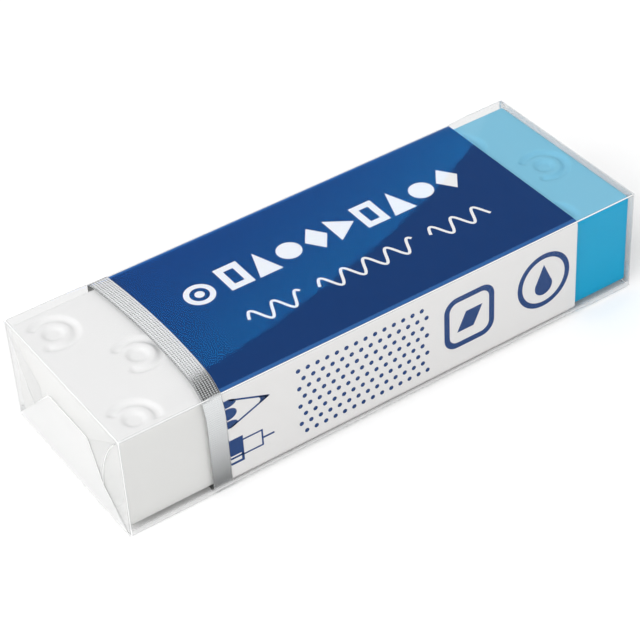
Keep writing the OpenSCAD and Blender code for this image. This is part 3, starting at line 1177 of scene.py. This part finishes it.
def add_floor():
    """A wide sheet of white paper under the pack."""
    corners = [(x * FLOOR_HALF, y * FLOOR_HALF, 0) for x, y in ((-1, -1), (1, -1), (1, 1), (-1, 1))]
    mesh = bpy.data.meshes.new("paper_floor")
    mesh.from_pydata(corners, [], [(0, 1, 2, 3)])
    mesh.materials.append(paper_floor())
    floor = into_scene("paper_floor", mesh)
    floor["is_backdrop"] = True


def add_world(stage):
    """Even white light all round, and plain white where the camera sees past the floor."""
    world = bpy.data.worlds.new("white_room")
    bpy.context.scene.world = world
    world.use_nodes = True
    tree = world.node_tree
    tree.nodes.clear()
    rays = add_node(tree, "ShaderNodeLightPath")
    seen = add_node(
        tree, "ShaderNodeMath", {"operation": "MAXIMUM"},
        {0: rays.outputs["Is Camera Ray"], 1: rays.outputs["Is Transmission Ray"]},
    )
    shown = add_node(
        tree, "ShaderNodeMath", {"operation": "MAXIMUM"},
        {0: seen.outputs[0], 1: rays.outputs["Is Glossy Ray"]},
    )
    strength = add_node(
        tree, "ShaderNodeMapRange", {"To Min": stage.ambient, "To Max": 1.0}, {"Value": shown.outputs[0]}
    )
    background = add_node(
        tree, "ShaderNodeBackground", {"Color": (1, 1, 1, 1)}, {"Strength": strength.outputs[0]}
    )
    add_node(tree, "ShaderNodeOutputWorld", links={"Surface": background.outputs[0]})


def add_key(stage):
    """A large softbox overhead, to the left and in front."""
    data = bpy.data.lights.new("softbox", "AREA")
    data.size = KEY_WIDTH
    data.energy = stage.key * KEY_WATTS
    light = into_scene("softbox", data)
    light.location = Vector(KEY_DIRECTION) * KEY_DISTANCE
    light.rotation_euler = light.location.to_track_quat("Z", "Y").to_euler()
    light.visible_glossy = False


# Operators

class ERASER_OT_stage(Operator):
    """Add the floor, the lights, the cards that the gloss shows and the camera"""

    bl_idname = "eraser.stage"
    bl_label = "Add stage"

    def execute(self, context):
        stage = context.scene.eraser_stage
        context.scene.view_settings.view_transform = "Standard"
        context.scene.cycles.transparent_max_bounces = FILM_LAYERS_SEEN
        add_floor()
        add_world(stage)
        add_key(stage)
        camera = add_camera(stage)
        add_cards(stage, camera.matrix_world.translation)
        return {"FINISHED"}


class ERASER_OT_bar(Operator):
    """Build the white and the blue half of the eraser bar"""

    bl_idname = "eraser.bar"
    bl_label = "Build bar"

    def execute(self, context):
        bar = context.scene.eraser_bar
        white_shown = SLEEVE_LOW.x - WHITE_LOW.x + MM
        blue_shown = BLUE_HIGH.x - SLEEVE_HIGH.x + MM
        white = bar_half(
            "white_eraser", WHITE_LOW.x, WHITE_HIGH.x, white_shown,
            vinyl("pressed_white_vinyl", bar.white, bar.white_cloud, bar.white_talc_and_sheen), bar,
        )
        blue = bar_half(
            "blue_eraser", BLUE_HIGH.x, BLUE_LOW.x, blue_shown,
            vinyl("pressed_blue_vinyl", bar.blue, bar.blue_cloud, bar.blue_talc_and_sheen), bar,
        )
        for piece, node, slot in ((white, "white_half", "white_eraser"), (blue, "blue_half", "blue_eraser")):
            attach(piece, "root")
            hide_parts(node)
        return {"FINISHED"}


class ERASER_OT_sleeve(Operator):
    """Finish the card sleeve and print it"""

    bl_idname = "eraser.sleeve"
    bl_label = "Print sleeve"

    def execute(self, context):
        sleeve = context.scene.eraser_sleeve
        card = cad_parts["card_sleeve"]
        card.data.materials.clear()
        card.data.materials.append(printed_card(sleeve))
        white_ink = offset_ink("opaque_white_ink", sleeve.white_print, sleeve.white_print_thin)
        blue_ink = offset_ink("dark_blue_ink", sleeve.side_print, sleeve.side_print_thin)
        top = ink_piece("sleeve_print_top", top_shapes(), along_top, white_ink)
        side = ink_piece("sleeve_print_side", side_shapes(), along_side, blue_ink)
        for piece in (top, side):
            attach(piece, "root")
        return {"FINISHED"}


class ERASER_OT_tape(Operator):
    """Build the silver tear strip"""

    bl_idname = "eraser.tape"
    bl_label = "Build tear strip"

    def execute(self, context):
        settings = context.scene.eraser_tape
        tape = tape_mesh(settings, metallised_tape(settings))
        lit_group(SEEN_BY_TAPE).objects.link(tape)
        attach(tape, "root")
        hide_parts("tear_strip")
        return {"FINISHED"}


class ERASER_OT_film(Operator):
    """Build the clear film with its folded ends"""

    bl_idname = "eraser.film"
    bl_label = "Build film"

    def execute(self, context):
        film = context.scene.eraser_film
        wrap = film_mesh(film, clear_film(film))
        lit_group(SEEN_BY_FILM).objects.link(wrap)
        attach(wrap, "root")
        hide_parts("film_wrap")
        return {"FINISHED"}


class ERASER_PT_panel(Panel):
    """Lists the steps that build the eraser"""

    bl_idname = "ERASER_PT_panel"
    bl_label = "Wrapped eraser"
    bl_space_type = "VIEW_3D"
    bl_region_type = "UI"
    bl_category = "Eraser"

    def draw(self, context):
        for step in (ERASER_OT_stage, ERASER_OT_bar, ERASER_OT_sleeve, ERASER_OT_tape, ERASER_OT_film):
            self.layout.operator(step.bl_idname)
        for name in SETTINGS:
            settings = getattr(context.scene, name)
            box = self.layout.box()
            for key in settings.__annotations__:
                box.prop(settings, key)


SETTINGS = {
    "eraser_bar": BarSettings,
    "eraser_sleeve": SleeveSettings,
    "eraser_tape": TapeSettings,
    "eraser_film": FilmSettings,
    "eraser_stage": StageSettings,
}
CLASSES = (
    *SETTINGS.values(),
    ERASER_OT_stage,
    ERASER_OT_bar,
    ERASER_OT_sleeve,
    ERASER_OT_tape,
    ERASER_OT_film,
    ERASER_PT_panel,
)


def register():
    """Adds the classes and their settings."""
    for one in CLASSES:
        bpy.utils.register_class(one)
    for name, kind in SETTINGS.items():
        setattr(bpy.types.Scene, name, PointerProperty(type=kind))


def unregister():
    """Removes the settings and the classes."""
    for name in SETTINGS:
        delattr(bpy.types.Scene, name)
    for one in reversed(CLASSES):
        bpy.utils.unregister_class(one)


def main():
    register()
    bpy.ops.eraser.stage()
    bpy.ops.eraser.bar()
    bpy.ops.eraser.sleeve()
    bpy.ops.eraser.tape()
    bpy.ops.eraser.film()
    [[list(corner) for corner in box] for box in (CAD_BOX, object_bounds())]


if __name__ == "__main__":
    main()
